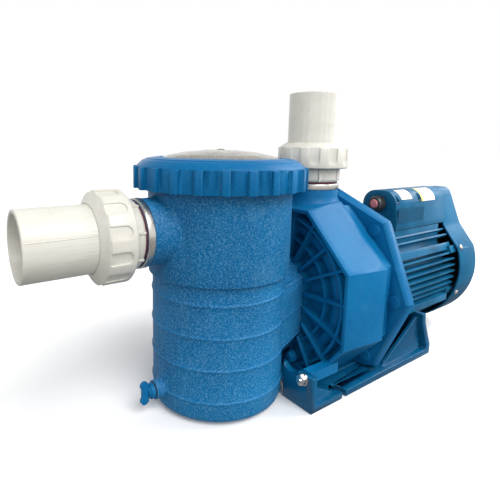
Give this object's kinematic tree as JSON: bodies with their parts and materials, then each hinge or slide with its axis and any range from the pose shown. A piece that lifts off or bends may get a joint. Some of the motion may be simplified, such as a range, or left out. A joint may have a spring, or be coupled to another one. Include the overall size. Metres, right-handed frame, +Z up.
{
  "type": "pool pump with strainer pot",
  "caption": "Pool circulation pump: strainer pot with screw-ring clear lid, octagonal volute casing, finned electric motor, white pipe unions and moulded base.",
  "frame": {"origin": "on the floor, below the middle of the moulded base", "axes": "+X along the shaft from the strainer pot to the motor, +Z up, +Y to the far side of the pump as seen with the pot on the left"},
  "size_m": [0.863, 0.352, 0.468],
  "materials": {
    "pot_plastic": "moulded blue plastic, fine grain",
    "casing_plastic": "moulded blue plastic, satin",
    "base_plastic": "moulded blue plastic, half gloss",
    "motor_paint": "blue paint on cast aluminium",
    "clear_plastic": "clear polycarbonate",
    "white_pvc": "off-white PVC, half gloss",
    "steel": "brushed stainless steel",
    "bright_steel": "bright fasteners",
    "dark_red_rubber": "dark red rubber",
    "black_rubber": "black rubber",
    "basket_plastic": "white plastic",
    "inner_plastic": "black glass-filled plastic",
    "motor_steel": "laminated steel",
    "copper": "varnished copper wire",
    "shaft_steel": "ground steel",
    "seal_face": "carbon and ceramic",
    "gland_plastic": "black nylon",
    "plug_red": "red plastic",
    "blank_plate": "blank aluminium plate",
    "blank_label": "blank white label with a yellow stripe"
  },
  "bodies": {
    "pump": {"strainer_pot": "pot_plastic", "neck_seal": "black_rubber", "volute_casing": "casing_plastic", "seal_plate": "casing_plastic", "casing_oring": "black_rubber", "casing_bolts": "steel", "diffuser": "inner_plastic", "seal_seat": "seal_face", "pump_base": "base_plastic", "base_bolts": "bright_steel", "motor_bracket": "motor_paint", "motor_frame": "motor_paint", "rear_shield": "motor_paint", "stator_core": "motor_steel", "stator_windings": "copper", "front_bearing": "shaft_steel", "rear_bearing": "shaft_steel", "fan_cover": "motor_paint", "fan_cover_screws": "bright_steel", "terminal_box": "motor_paint", "terminal_gasket": "black_rubber", "terminal_box_screws": "bright_steel", "terminal_block": "inner_plastic", "run_capacitor": "inner_plastic", "cable_gland": "gland_plastic", "gland_plug": "plug_red", "rating_plate": "blank_plate", "side_label": "blank_label", "suction_steel_band": "steel", "suction_gasket": "dark_red_rubber", "suction_adaptor": "white_pvc", "suction_union_oring": "black_rubber", "discharge_steel_band": "steel", "discharge_gasket": "dark_red_rubber", "discharge_adaptor": "white_pvc", "discharge_union_oring": "black_rubber"},
    "rotor": {"motor_shaft": "shaft_steel", "rotor_core": "motor_steel", "impeller": "inner_plastic", "seal_head": "seal_face", "cooling_fan": "inner_plastic"},
    "lid": {"strainer_lid": "clear_plastic", "lid_oring": "black_rubber"},
    "lock_ring": {"lid_lock_ring": "casing_plastic"},
    "basket": {"strainer_basket": "basket_plastic"},
    "handle": {"basket_handle": "basket_plastic"},
    "suction_tail": {"suction_tailpiece": "white_pvc"},
    "suction_nut": {"suction_union_nut": "white_pvc"},
    "discharge_tail": {"discharge_tailpiece": "white_pvc"},
    "discharge_nut": {"discharge_union_nut": "white_pvc"},
    "pot_drain_ring": {"pot_drain_oring": "black_rubber"},
    "pot_drain": {"pot_drain_plug": "casing_plastic"},
    "casing_drain_ring": {"casing_drain_oring": "black_rubber"},
    "casing_drain": {"casing_drain_plug": "casing_plastic"}
  },
  "joints": [
    {"name": "shaft_spin", "type": "hinge", "parent": "pump", "child": "rotor", "pos_m": [0, 0, 0.14], "axis": [1, 0, 0], "continuous": true},
    {"name": "lid_lift", "type": "slide", "parent": "pump", "child": "lid", "axis": [0, 0, 1], "range_m": [0, 0.38]},
    {"name": "lock_ring_turn", "type": "hinge", "parent": "lid", "child": "lock_ring", "pos_m": [-0.233, 0, 0.34], "axis": [0, 0, 1], "range_deg": [0, 90]},
    {"name": "basket_lift", "type": "slide", "parent": "pump", "child": "basket", "axis": [0, 0, 1], "range_m": [0, 0.34]},
    {"name": "handle_fold", "type": "hinge", "parent": "basket", "child": "handle", "pos_m": [-0.233, 0, 0.31], "axis": [0, 1, 0], "range_deg": [0, 90]},
    {"name": "suction_tail_slide", "type": "slide", "parent": "pump", "child": "suction_tail", "axis": [-1, 0, 0], "range_m": [0, 0.0182]},
    {"name": "suction_nut_turn", "type": "hinge", "parent": "suction_tail", "child": "suction_nut", "pos_m": [-0.41, 0, 0.2645], "axis": [-1, 0, 0], "range_deg": [0, 1080]},
    {"name": "discharge_tail_slide", "type": "slide", "parent": "pump", "child": "discharge_tail", "axis": [0, 0, 1], "range_m": [0, 0.0182]},
    {"name": "discharge_nut_turn", "type": "hinge", "parent": "discharge_tail", "child": "discharge_nut", "pos_m": [-0.0355, 0, 0.36], "axis": [0, 0, 1], "range_deg": [0, 1080]},
    {"name": "pot_drain_slide", "type": "slide", "parent": "pump", "child": "pot_drain_ring", "axis": [-1, 0, 0], "range_m": [0, 0.0062]},
    {"name": "pot_drain_turn", "type": "hinge", "parent": "pot_drain_ring", "child": "pot_drain", "pos_m": [-0.35, 0, 0.033], "axis": [-1, 0, 0], "range_deg": [0, 1080]},
    {"name": "casing_drain_slide", "type": "slide", "parent": "pump", "child": "casing_drain_ring", "axis": [-1, 0, 0], "range_m": [0, 0.0062]},
    {"name": "casing_drain_turn", "type": "hinge", "parent": "casing_drain_ring", "child": "casing_drain", "pos_m": [-0.098, -0.035, 0.0275], "axis": [-1, 0, 0], "range_deg": [0, 1080]}
  ],
  "couplings": [
    {"joint": "basket_lift", "follows": "lid_lift", "ratio": 0.88},
    {"joint": "suction_tail_slide", "follows": "suction_nut_turn", "m_per_rad": 0.00095493},
    {"joint": "discharge_tail_slide", "follows": "discharge_nut_turn", "m_per_rad": 0.00095493},
    {"joint": "pot_drain_slide", "follows": "pot_drain_turn", "m_per_rad": 0.00031831},
    {"joint": "casing_drain_slide", "follows": "casing_drain_turn", "m_per_rad": 0.00031831}
  ]
}
